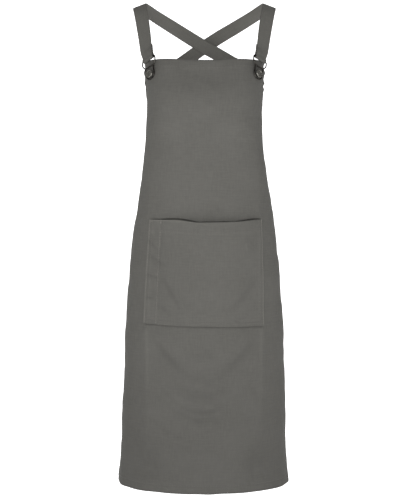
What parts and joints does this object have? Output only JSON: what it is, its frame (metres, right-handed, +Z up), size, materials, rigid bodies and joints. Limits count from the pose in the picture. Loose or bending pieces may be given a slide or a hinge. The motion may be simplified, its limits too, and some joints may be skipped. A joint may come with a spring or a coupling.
{
  "type": "cross back apron",
  "caption": "Full-length cross back work apron in cotton canvas, shown as worn, with a bib, a wide patch pocket and crossed shoulder straps on button-and-loop buckles.",
  "frame": {"origin": "midway between the two straps where they pass over the shoulders, level with the underside of the straps there", "axes": "+Z up along the wearer, -Y out of the front of the bib, +X towards the wearer's left"},
  "size_m": [0.3692, 0.2658, 1.0194],
  "materials": {
    "canvas": "matte charcoal cotton canvas",
    "dark_metal": "dark gunmetal plating on steel wire and buttons"
  },
  "bodies": {
    "root": {"apron_panel": "canvas", "pocket": "canvas", "strap_left": "canvas", "strap_right": "canvas", "hook_left": "dark_metal", "hook_right": "dark_metal", "button_left": "dark_metal", "button_right": "dark_metal"}
  },
  "joints": []
}
